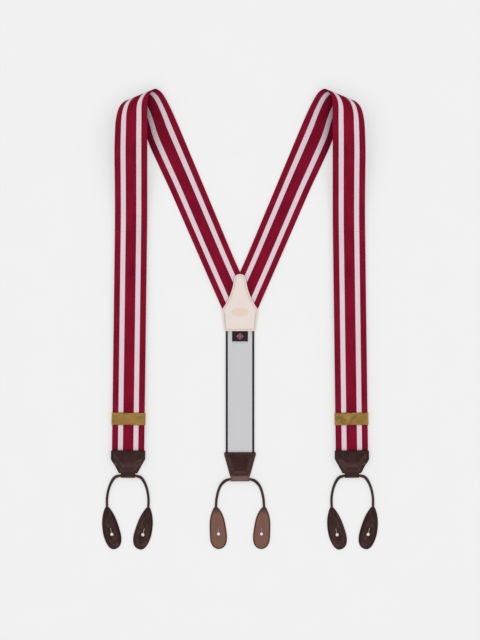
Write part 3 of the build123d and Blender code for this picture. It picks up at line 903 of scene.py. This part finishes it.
def return_ribbon():
    """The last stretch: round the ring's bar and back up behind the front layer to the clamp."""
    radius = FLAT_Z - LINK_Z
    turns = np.linspace(0, math.pi, 14)
    bar = [(LINK_Y - radius * math.sin(a), LINK_Z + radius * math.cos(a)) for a in turns]
    line = np.array(bar + [(y, RETURN_Z) for y in np.linspace(LINK_Y + 1, CLAMP_Y + 0.4, 30)])
    half = GATHER_HALF + (RETURN_HALF - GATHER_HALF) * smooth(LINK_Y + 2, GATHER_Y, line[:, 0])
    half[: len(bar)] = GATHER_HALF
    lefts = np.column_stack([-half, line])
    rights = np.column_stack([half, line])
    shape = band(lefts, rights, ribbon_lifts(lefts, rights), RIBBON_THICK, bead=RIBBON_BEAD)
    shape.place[:, 0] *= RIBBON_HALF / GATHER_HALF
    return shape


CLAMP_LOW, CLAMP_HIGH = cad_box("left_end_clamp")
CLAMP_Y = float(off_strap((CLAMP_LOW + CLAMP_HIGH)[:2] / 2)[1])
# the (y, z) ends of each sliding ribbon's stretch, listed but not used by build_ribbons
FRONT_STRETCH = ((SEAM_Y, FLAT_Z), (LINK_Y + 6, FLAT_Z))
RETURN_STRETCH = ((LINK_Y + 1.5, RETURN_Z), (CLAMP_Y - 3, RETURN_Z))


def build_ribbons():
    shoulder = shoulder_ribbon()
    sliding = front_ribbon().moved(on_strap)
    looped = return_ribbon().moved(on_strap)
    for side, mirror in (("left", 1), ("right", -1)):
        if mirror < 0:
            shoulder, sliding, looped = (shape.mirrored() for shape in (shoulder, sliding, looped))
        put(f"{side}_shoulder_ribbon", shoulder, "harness", RIBBON, f"{side}_strap")
        for name, shape, bodies, ends in (
            ("front", sliding, ("harness", f"{side}_loop"), FRONT_STRETCH),
            ("return", looped, (f"{side}_loop", f"{side}_adjuster"), RETURN_STRETCH),
        ):
            piece = make(f"{side}_{name}_ribbon", shape, [RIBBON])
            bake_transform(piece)
        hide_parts(f"{side}_strap_return")


# ---- yoke, elastic and label -------------------------------------------------------------

YOKE_HIGH = np.array(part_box("yoke_lining")[1]) / MM
YOKE_INSET = 2.0  # the seam's distance from the edge
YOKE_STITCH_PITCH = 2.7
YOKE_STITCH = (2.05, 0.24)  # length and thread radius
STAMP_Y = 22.3
STAMP_HALF = (9.2, 4.5)


def yoke_pinch(x, y):
    """Where the two yoke leathers meet with nothing between them: beside the elastic."""
    return smooth(ELASTIC_HALF - 0.2, ELASTIC_HALF + 1.6, np.abs(x)) * smooth(27, 19, y)


def stamp_depth(x, y):
    """A plain oval pressed into the leather, with a lozenge inside it."""
    oval = np.hypot(x / STAMP_HALF[0], (y - STAMP_Y) / STAMP_HALF[1])
    lozenge = np.abs(x) / STAMP_HALF[0] + np.abs(y - STAMP_Y) / STAMP_HALF[1]
    return 0.16 * bell((oval - 1) * 4.5, 0.42) + 0.14 * bell((lozenge - 0.62) * 4.5, 0.42)


def yoke_top(x, y, d):
    flat = YOKE_HIGH[2] - 1.25 * yoke_pinch(x, y)
    return flat + 0.12 * smooth(0, 6, d) - 0.16 * bell(d - YOKE_INSET, 0.5) - stamp_depth(x, y)


def seam_rows(loop, distance, gap):
    """Rows of points on both sides of a seam, so that its groove comes out clean."""
    return [inset(loop, distance + k * gap) for k in (-2, -1, 0, 1, 2)]


def build_yoke():
    loop = resampled(outlines("yoke_lining")[0], EDGE_STEP, 3)
    rows = seam_rows(loop, YOKE_INSET, 0.35)
    turns = circle(89)
    oval = np.column_stack([np.cos(turns), np.sin(turns)]) * STAMP_HALF
    ovals = [oval * share + (0, STAMP_Y) for share in (0.9, 1.0, 1.1)]

    def lining_low(x, y, d):
        return yoke_top(x, y, d) - LEATHER - 0.1

    def seam_ground(x, y):
        return yoke_top(x, y, np.full(len(x), YOKE_INSET))

    def outer_low(x, y, d):
        return STITCH_LIFT * bell(d - YOKE_INSET, 0.5)

    lining = slab([loop], lining_low, yoke_top, rows + ovals)
    put("yoke_lining_leather", lining, "harness", STAMPED, "yoke_lining")
    outer = slab([loop], outer_low, level(LEATHER), rows)
    put("yoke_outer_leather", outer, "harness", BROWN, "yoke_outer")
    places = thread_runs(loop, YOKE_INSET, lambda x, y: x < YOKE_HIGH[0] + 1, YOKE_STITCH_PITCH)
    seam = stitches(places, seam_ground, *YOKE_STITCH)
    put("yoke_stitching", seam, "harness", CREAM_THREAD)
    under = stitches(places, lambda x, y: 0.0 * x, *YOKE_STITCH)
    under.points[:, 2] = np.maximum(0.12 - under.points[:, 2], 0.0)
    under.faces = [face[::-1] for face in under.faces]
    put("yoke_stitching_outside", under, "harness", DARK_THREAD)


def stamped_material():
    """Cream leather, warmed to tan inside the stamped oval."""
    r = Recipe("cream_leather_stamped", CREAM)
    x, y = r.parts(r.object_place())
    x = r.math("DIVIDE", x, STAMP_HALF[0])
    y = r.math("DIVIDE", r.minus(y, STAMP_Y), STAMP_HALF[1])
    oval = r.math("SQRT", r.plus(r.times(x, x), r.times(y, y)))
    lozenge = r.plus(r.size(x), r.size(y))
    lines = r.math("MAXIMUM", r.band(oval, 0.93, 1.07, 0.06), r.band(lozenge, 0.54, 0.70, 0.06))
    inside_oval = r.rise(oval, 0.6, 1.25, 0.28, 0.0)
    tint = r.math("MAXIMUM", r.times(lines, 0.6), inside_oval)
    before = r.shader.inputs["Base Color"].links[0].from_socket
    r.feed(r.shader.inputs["Base Color"], r.mix(tint, before, (0.62, 0.39, 0.24)))
    return r.material


STAMPED = stamped_material()


def build_elastic():
    """Elastic back strap, from inside the yoke to inside the rear tab."""
    middle = float(ELASTIC_LOW[2] + ELASTIC_HIGH[2]) / 2
    ys = np.linspace(ELASTIC_HIGH[1], ELASTIC_LOW[1], 150)
    half = ELASTIC_HALF - 4.2 * smooth(REAR_TAB_TOP - 7, ELASTIC_LOW[1], ys)  # drawn in inside the tab
    # drawn from the top down, so the upper side's left is the wearer's right
    thick = float(ELASTIC_HIGH[2] - ELASTIC_LOW[2])
    shape = flat_band(half, ys, middle, thick, step=0.95, bead=0.06, under=1)
    piece = make("elastic_back_strap", shape, [ELASTIC_FACE, ELASTIC_BACK])
    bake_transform(piece)
    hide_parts("elastic_back")


def build_label():
    top, bottom = float(LABEL_HIGH[1]), float(LABEL_LOW[1])
    ys = np.linspace(top, bottom, 26)
    height = 0.25 * smooth(bottom + 2.5, bottom, ys) + float(LABEL_LOW[2] + LABEL_HIGH[2]) / 2
    shape = flat_band(LABEL_HALF, ys, height, float(LABEL_HIGH[2] - LABEL_LOW[2]), step=0.8)
    put("woven_label_patch", shape, "harness", LABEL, "woven_label")
    places = [(np.array([x, bottom - 2.0]), np.array([1.0, 0.0])) for x in np.arange(-7.8, 8.0, 2.6)]
    tacks = stitches(places, lambda x, y: 0.0 * x + ELASTIC_HIGH[2], 1.9, 0.2, slant=0)
    put("label_tack_stitches", tacks, "harness", GREY_THREAD)


# ---- leather tabs ------------------------------------------------------------------------

REAR_TAB_LOW, REAR_TAB_HIGH = cad_box("rear_tab_front")
REAR_TAB_TOP = float(REAR_TAB_HIGH[1])
REAR_TAB_END = float(REAR_TAB_LOW[1])
FRONT_TAB_LOW, FRONT_TAB_HIGH = cad_box("left_tab_front")
TAB_LENGTH = 27.2
TAB_TOP = float(off_strap((FRONT_TAB_LOW + FRONT_TAB_HIGH)[:2] / 2)[1]) + TAB_LENGTH / 2
TAB_END = TAB_TOP - TAB_LENGTH
TAB_SHOULDER = TAB_TOP - 10.4
TAB_INSET = 1.9  # the seam's distance from the edge
TAB_STITCH_PITCH = 2.5
TAB_STITCH = (1.95, 0.22)  # length and thread radius
KEEPER_HALF_FRONT = 8.4
KEEPER_HALF_REAR = 11.2


def front_tab_low(x, y, d, loop_half=19.9, end_half=10.8):
    """Inner side of the front leather: flat over the ring, then down to the sewn end."""
    mouth, end = FRONT_TAB_HIGH[2] - LEATHER, FRONT_TAB_LOW[2]
    flat = mouth - (mouth - end) * smooth(TAB_SHOULDER + 2, TAB_END + 1, y) ** 0.9
    down = np.clip((TAB_SHOULDER - y) / (TAB_SHOULDER - TAB_END), 0, 1)
    side = loop_half - (loop_half - end_half) * down - np.abs(x)
    pinch = smooth(5.2, 2.5, side) * smooth(TAB_SHOULDER - 3.5, TAB_SHOULDER - 8.5, y)
    return flat - (flat - LEATHER - 0.1) * pinch


def tab_relief(d, y, top, full, groove, roll):
    """Height of a tab's outer side over its inner one: a raised middle, a seam and a rolled mouth."""
    middle = 0.2 * smooth(0, 2, d) + full[0] * smooth(1.5, full[1], d)
    return LEATHER + middle - groove * bell(d - TAB_INSET, 0.6) + roll * smooth(top - 3.0, top - 0.6, y)


def front_tab_high(x, y, d):
    sag = 0.35 * bell(y - TAB_TOP + 9, 3.5) * bell(x, 9)  # the leather sinks inside the ring
    return front_tab_low(x, y, d) + tab_relief(d, y, TAB_TOP, (0.9, 9.5), 0.3, 0.3) - sag


def rear_tab_low(x, y, d):
    half = REAR_TAB_HIGH[0] - (REAR_TAB_HIGH[0] - 11.6) * np.clip((REAR_TAB_TOP - 3 - y) / 25.5, 0, 1)
    side = half - np.abs(x)
    pinch = smooth(1.7, 0.4, side) * smooth(REAR_TAB_TOP - 1, REAR_TAB_TOP - 6, y)
    inner = REAR_TAB_LOW[2]
    return inner - (inner - LEATHER - 0.1) * pinch


def rear_tab_high(x, y, d):
    return rear_tab_low(x, y, d) + tab_relief(d, y, REAR_TAB_TOP, (0.8, 8.0), 0.32, 0.35)


def tab_pieces(loop, lining_loop, low, high, sewn):
    """A tab's outer leather, its lining and its stitches. sewn(x, y) says where it is stitched."""
    def seam_ground(x, y):
        return high(x, y, np.full(len(x), TAB_INSET))

    leather = slab([loop], low, high, seam_rows(loop, TAB_INSET, 0.3))
    lining = slab([lining_loop], level(0.0), level(LEATHER))
    places = thread_runs(loop, TAB_INSET, sewn, TAB_STITCH_PITCH)
    return leather, lining, stitches(places, seam_ground, *TAB_STITCH)


def build_front_tabs():
    loop, lining_loop = (
        resampled(off_strap(outlines(node)[0]), EDGE_STEP, 1)
        for node in ("left_tab_front", "left_tab_lining")
    )
    leather, lining, seam = tab_pieces(
        loop, lining_loop, front_tab_low, front_tab_high,
        lambda x, y: (y < TAB_SHOULDER - 3.5) & (y > TAB_END + 1.2),
    )
    put_pair("tab_front_leather", leather, "tab", DARK, "tab_front")
    put_pair("tab_lining_leather", lining, "tab", BROWN, "tab_lining")
    put_pair("tab_stitching", seam, "tab", DARK_THREAD)


def build_rear_tab():
    loop = resampled(outlines("rear_tab_front")[0], EDGE_STEP, 1)
    leather, back, seam = tab_pieces(
        loop, loop, rear_tab_low, rear_tab_high, lambda x, y: y > REAR_TAB_END + 1.2
    )
    put("rear_tab_front_leather", leather, "rear_tab", DARK, "rear_tab_front")
    put("rear_tab_back_leather", back, "rear_tab", BROWN, "rear_tab_back")
    put("rear_tab_stitching", seam, "rear_tab", DARK_THREAD)


KEEPER_THICK = 1.2
# how the strip goes from between the leathers to the loop: (above the tab's end, share of the way)
KEEPER_BEND = ((2.5, 0.0), (1.2, 0.3), (0.0, 0.75), (-1.0, 1.0))


def keeper(axis_y, half, tab_end, flange_top, front_z, back_z):
    """A leather strip folded round the cord, its two ends between the tab's leathers."""
    radius = CORD_R + 0.12 + KEEPER_THICK / 2
    turns = np.linspace(math.pi / 2, -math.pi / 2, 19)
    fold = [(axis_y - radius * math.cos(a), KEEPER_Z + radius * math.sin(a)) for a in turns]

    def leg(sewn_z, loop_z):
        bend = [(tab_end + above, sewn_z + (loop_z - sewn_z) * share) for above, share in KEEPER_BEND]
        return [(flange_top, sewn_z)] + bend

    line = np.array(leg(front_z, KEEPER_Z + radius) + fold + leg(back_z, KEEPER_Z - radius)[::-1])
    far = distances(line)
    line = relaxed(points_at(line, far, np.linspace(0, far[-1], 70)), 3)
    lefts = np.column_stack([np.full(len(line), -half), line])
    rights = lefts * (-1, 1, 1)
    heading = np.gradient(line, axis=0)
    lifts = unit(np.column_stack([np.zeros(len(line)), heading[:, 1], -heading[:, 0]]))
    return band(rights, lefts, lifts, KEEPER_THICK, step=1.2)


def build_keepers():
    front = keeper(FRONT_CORD[0][1], KEEPER_HALF_FRONT, TAB_END, -158.0, 3.95, 2.05)
    put_pair("keeper_strip", front, "tab", DARK, "keeper_loop")
    rear = keeper(REAR_CORD[0][1], KEEPER_HALF_REAR, REAR_TAB_END, -160.0, 2.05, 2.03)
    put("rear_keeper_strip", rear, "rear_tab", KEEPER, "rear_keeper_loop")


# ---- cords and ears ----------------------------------------------------------------------

EAR_TOP = -206.4
EAR_LIFT = 0.1
EAR_THICK = 1.85  # at the edge; the dome comes on top
HOLE_R = 1.8
LIP_R = 3.2  # a ring of points for the lips round the hole
FRONT_NECK_X = 24.15
REAR_NECK_X = 28.3
FRONT_CORD = [
    (-KEEPER_HALF_FRONT, -169.3, KEEPER_Z),
    (-15.5, -171.8, 2.4),
    (-21.3, -181.8, CORD_Z),
    (-24.2, -195.0, CORD_Z),
    (-24.1, EAR_TOP - 3.0, CORD_Z),
]
REAR_CORD = [
    (-KEEPER_HALF_REAR, -173.4, KEEPER_Z),
    (-17.4, -175.6, 2.4),
    (-23.3, -182.2, CORD_Z),
    (-27.2, -195.0, CORD_Z),
    (-28.4, EAR_TOP - 3.0, CORD_Z),
]


def cord_line(half_line):
    """The cord's line from ear to ear, through its keeper."""
    points = np.array(half_line[::-1], float)
    far = distances(points)
    dense = through(points, far, np.linspace(0, far[-1], 70))
    across = np.linspace(points[-1, 0], -points[-1, 0], 16)[1:-1]
    bar = np.tile(points[-1], (len(across), 1))
    bar[:, 0] = across
    return relaxed(np.vstack([dense, bar, dense[::-1] * (-1, 1, 1)]), 4)


def cord(half_line):
    """Rolled leather cord: a round rod with the roll's seam along it, flattened at both ends."""
    line = cord_line(half_line)
    heading = unit(np.gradient(line, axis=0))
    side = unit(np.cross(heading, [0, 0, 1.0]))
    up = np.cross(side, heading)
    far = distances(line)
    turns = circle(24)
    seam = math.radians(-125)
    points, place = [], []
    for k in range(len(line)):
        end = min(far[k], far[-1] - far[k])
        squeeze = 1 - 0.45 * float(smooth(5.5, 0, end))
        beside = abs(line[k, 0]) - abs(half_line[0][0])  # how far outside the keeper
        full = 1 + 0.2 * float(smooth(0.8, 4, beside) * smooth(15, 7, beside))
        for a in turns:
            gap = math.atan2(math.sin(a - seam), math.cos(a - seam))
            radius = CORD_R * full * (1 - 0.13 * math.exp(-((gap / 0.16) ** 2)))
            out = side[k] * math.cos(a) + up[k] * math.sin(a) * squeeze
            points.append(line[k] + out * radius)
            place.append([a * CORD_R, far[k]])
    faces = [face[::-1] for face in tube_faces(len(line), len(turns))]
    return Shape().add(points, faces, place)


def ear(node, neck_x, local, crease_shade_rim):
    """One ear, cut to its CAD outline, with its button hole: a soft dome, rolled up at the neck,
    with a crease down to the hole. A lower last argument paints darker shade into the crease."""
    loops = outlines(node)
    loops = [off_strap(loop) for loop in loops] if local else loops
    outer = resampled(loops[0], EDGE_STEP, 3)
    hole_loops = [resampled(loop, 0.35, 0) for loop in loops[1:]]
    hole = np.array([loops[1][:, 0].mean(), loops[1][:, 1].min() + HOLE_R])
    neck = np.array([neck_x, EAR_TOP])
    reach = np.linalg.norm(hole - neck)
    heading = (hole - neck) / reach
    across = np.array([-heading[1], heading[0]])

    def high(x, y, d):
        spots = np.column_stack([x, y])
        along, off = (spots - neck) @ heading, (spots - neck) @ across
        dome = 0.95 * smooth(0, 6.5, d) - 0.3 * smooth(6.5, 10.0, d)
        roll = 0.95 * (1 - smooth(1, 17, along)) * bell(off, 1.9)
        crease = 0.42 * smooth(2, 9, along) * smooth(reach - 2.2, reach - 8, along) * bell(off, 0.75)
        lips = 0.16 * bell(np.hypot(*(spots - hole).T) - 2.7, 0.7)
        return EAR_LIFT + EAR_THICK + dome + roll - crease + lips

    line = neck + np.arange(1, 28, 0.5)[:, None] * heading
    extra = [line + off * across for off in (-1.2, -0.8, -0.4, 0, 0.4, 0.8, 1.2)]
    turns = circle(25)
    extra.append(np.column_stack([np.cos(turns), np.sin(turns)]) * LIP_R + hole)
    shape = slab([outer] + hole_loops, level(EAR_LIFT), high, extra, edge_round=0.75)
    # painted shade: the crease and the neck are darkened like the cut edge, and the hole's edge hardly at
    # all
    flat = shape.points[:, :2]
    along, off = (flat - neck) @ heading, (flat - neck) @ across
    shape.rim = np.minimum.reduce([
        edge_distance(flat, [outer]),
        edge_distance(flat, hole_loops) + 1.2,
        crease_shade_rim + 1.5 * np.abs(off) + 9 * smooth(22, 30, along),
        1.0 + 0.13 * np.maximum(along, 0),
    ])
    return shape


def build_thongs():
    put_pair("rolled_cord", cord(FRONT_CORD), "thong", DARK, "cord")
    for name, neck_x in (("outer_ear", -FRONT_NECK_X), ("inner_ear", FRONT_NECK_X)):
        shape = ear(f"left_{name}", neck_x, True, 1.9)
        put_pair(f"{name}_leather", shape, "thong", DARK, name)
    put("rear_rolled_cord", cord(REAR_CORD), "rear_thong", DARK, "rear_cord")
    for name, neck_x in (("rear_left_ear", -REAR_NECK_X), ("rear_right_ear", REAR_NECK_X)):
        shape = ear(name, neck_x, False, 1.95)
        put(f"{name}_leather", shape, "rear_thong", FLESH, name)


# ---- metal parts, kept as the CAD made them ----------------------------------------------

METAL = {
    "adjuster_plate": GILT,
    "adjuster_lever": GILT,
    "lever_pin": STEEL,
    "end_clamp": GILT,
    "link_ring": STEEL,
}


def finish_metal():
    for side in ("left", "right"):
        for name, material in METAL.items():
            node = frame["nodes"][f"{side}_{name}"]
            node.data.materials.clear()
            node.data.materials.append(material)


# ---- floor, light and camera -------------------------------------------------------------

CAMERA_DISTANCE = 1.5
LENS = 71.9
CAMERA_Y = 0.0129

TENT_SIDES = 0.72  # a light tent: bright round the sides, dim overhead
TENT_OVERHEAD = 0.10
OVERHEAD_POWER = 108.0
OVERHEAD_SIZE = 5.0
OVERHEAD_HEIGHT = 2.6
STRIP_POWER = 1.6
STRIP_SIZE = (1.2, 0.2)
STRIPS = {
    "left": (-0.6, 0.0, 1.4),
    "right": (0.6, 0.0, 1.4),
    "near": (0.0, -0.8, 1.3),
    "far": (0.0, 0.6, 1.3),
}
# metres that each moving piece hangs below the braces when it is turned straight down
HANGING = dict.fromkeys(("left_thong", "right_thong", "rear_thong"), 0.095)
HANGING.update(dict.fromkeys(("left_lever", "right_lever"), 0.01))
TAB_REACH = 0.014  # metres that a tab adds when it swings
FLOOR_HALF = 4000.0
FLOOR_Z = -0.1
FLOOR_TONE = 0.36
FLOOR_GLOW = 0.455


def add_lamp(name, place, size, power):
    """A softbox that points at the middle of the braces."""
    lamp = bpy.data.lights.new(name, "AREA")
    lamp.shape = "RECTANGLE"
    lamp.size, lamp.size_y = size
    lamp.energy = power
    holder = placed(name, lamp, place)
    holder.rotation_euler = (-holder.location).to_track_quat("-Z", "Y").to_euler()
    return holder


def build_light():
    world = bpy.data.worlds.new("light_tent")
    bpy.context.scene.world = world
    world.use_nodes = True
    tree = world.node_tree
    background = tree.nodes["Background"]
    background.inputs["Color"].default_value = (1, 1, 1, 1)
    direction = tree.nodes.new("ShaderNodeTexCoord")
    split = tree.nodes.new("ShaderNodeSeparateXYZ")
    level = tree.nodes.new("ShaderNodeMapRange")
    level.interpolation_type = "SMOOTHSTEP"
    for socket, value in zip(list(level.inputs)[1:5], (0.5, 0.97, TENT_SIDES, TENT_OVERHEAD)):
        socket.default_value = value
    tree.links.new(direction.outputs["Generated"], split.inputs[0])
    tree.links.new(split.outputs[2], level.inputs[0])
    tree.links.new(level.outputs[0], background.inputs["Strength"])
    # the overhead lamp lights the cloth, and isn't mirrored in the leather
    above = (0, CAMERA_Y, OVERHEAD_HEIGHT)
    overhead = add_lamp("overhead", above, (OVERHEAD_SIZE, OVERHEAD_SIZE), OVERHEAD_POWER)
    overhead.visible_glossy = False
    # the strips are there for their reflections
    for name, place in STRIPS.items():
        strip = add_lamp(f"{name}_strip", place, STRIP_SIZE, STRIP_POWER)
        strip.visible_diffuse = False


def sink_when_parts_hang(floor):
    """The floor moves down when a pose swings a thong, a lever or a tab below the braces."""
    driver = floor.driver_add("location", 2).driver
    for name in [*HANGING, "left_tab", "right_tab"]:
        swing = driver.variables.new()
        swing.name = name
        swing.type = "TRANSFORMS"
        swing.targets[0].id = frame["bodies"][name]
        swing.targets[0].transform_type = "ROT_X"
        swing.targets[0].transform_space = "WORLD_SPACE"
    hanging = ",".join(f"{reach}*sin({name})" for name, reach in HANGING.items())
    driver.expression = f"-max(0,{hanging})-{TAB_REACH}*(abs(sin(left_tab))+abs(sin(right_tab)))"


def build_stage():
    r = Recipe("pale_floor")
    place = r.object_place()
    tone = r.noise(place, 0.02, 2.0)
    grey = r.mix(tone, (FLOOR_TONE,) * 3, (FLOOR_TONE * 1.03,) * 3)
    white = (1.0, 1.0, 1.0)
    r.done(grey, 0.9, Specular_IOR_Level=0.0, Emission_Color=white, Emission_Strength=FLOOR_GLOW)
    corners = [[x * FLOOR_HALF, y * FLOOR_HALF, FLOOR_Z] for x, y in ((-1, -1), (1, -1), (1, 1), (-1, 1))]
    floor = make("floor", Shape().add(corners, [[0, 1, 2, 3]]), [r.material])
    sink_when_parts_hang(floor)
    build_light()
    camera = bpy.data.cameras.new("camera")
    camera.lens = LENS
    bpy.context.scene.camera = placed("camera", camera, (0, CAMERA_Y, CAMERA_DISTANCE))
    bpy.context.scene.view_settings.view_transform = "Standard"


build_ribbons()
build_yoke()
build_elastic()
build_label()
build_front_tabs()
build_rear_tab()
build_keepers()
build_thongs()
finish_metal()
build_stage()
